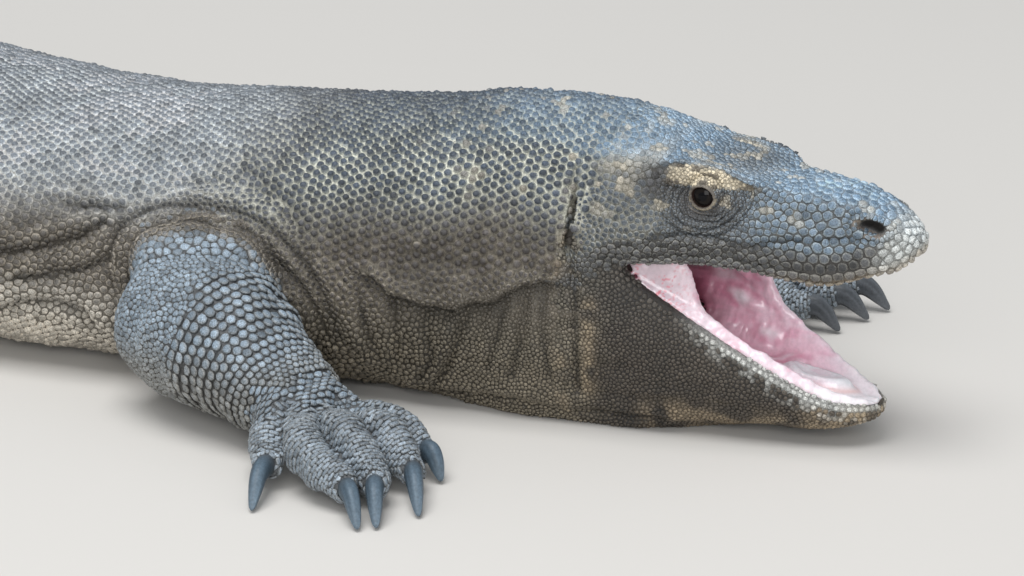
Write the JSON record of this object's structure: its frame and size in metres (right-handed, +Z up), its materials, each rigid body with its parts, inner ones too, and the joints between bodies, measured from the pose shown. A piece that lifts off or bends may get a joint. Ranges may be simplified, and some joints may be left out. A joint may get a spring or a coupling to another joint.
{
  "type": "komodo dragon",
  "caption": "Life-size still komodo dragon resting flat on its belly, mouth wide open, forelegs sprawled, hind legs splayed and long tail laid in a curve.",
  "frame": {"origin": "middle of the footprint's bounding box, on the floor", "axes": "+X towards the snout, +Y to the animal's left, +Z up"},
  "size_m": [2.4036, 0.6862, 0.175],
  "materials": {
    "hide": "dry matte hide covered with small raised scales, grey with tan skin between them",
    "head_hide": "slate blue-grey plates of the head, slightly polished",
    "mouth_lining": "wet pink lining of the mouth",
    "claw_horn": "smooth blue-grey horn",
    "eye_dark": "polished dark eye"
  },
  "bodies": {
    "root": {"belly": "hide", "cheek_web_l": "mouth_lining", "cheek_web_r": "mouth_lining", "chest": "hide", "claw_arm_l_1": "claw_horn", "claw_arm_l_2": "claw_horn", "claw_arm_l_3": "claw_horn", "claw_arm_l_4": "claw_horn", "claw_arm_l_5": "claw_horn", "claw_arm_r_1": "claw_horn", "claw_arm_r_2": "claw_horn", "claw_arm_r_3": "claw_horn", "claw_arm_r_4": "claw_horn", "claw_arm_r_5": "claw_horn", "claw_leg_l_1": "claw_horn", "claw_leg_l_2": "claw_horn", "claw_leg_l_3": "claw_horn", "claw_leg_l_4": "claw_horn", "claw_leg_l_5": "claw_horn", "claw_leg_r_1": "claw_horn", "claw_leg_r_2": "claw_horn", "claw_leg_r_3": "claw_horn", "claw_leg_r_4": "claw_horn", "claw_leg_r_5": "claw_horn", "eye_l": "eye_dark", "eye_r": "eye_dark", "foot_l": "hide", "foot_r": "hide", "forearm_l": "hide", "forearm_r": "hide", "hand_l": "hide", "hand_r": "hide", "head": "head_hide", "hips": "hide", "lower_jaw": "hide", "mouth_floor": "mouth_lining", "neck": "hide", "palate": "mouth_lining", "shin_l": "hide", "shin_r": "hide", "tail_1": "hide", "tail_2": "hide", "tail_3": "hide", "tail_4": "hide", "tail_5": "hide", "tail_6": "hide", "thigh_l": "hide", "thigh_r": "hide", "upper_arm_l": "hide", "upper_arm_r": "hide"}
  },
  "joints": []
}
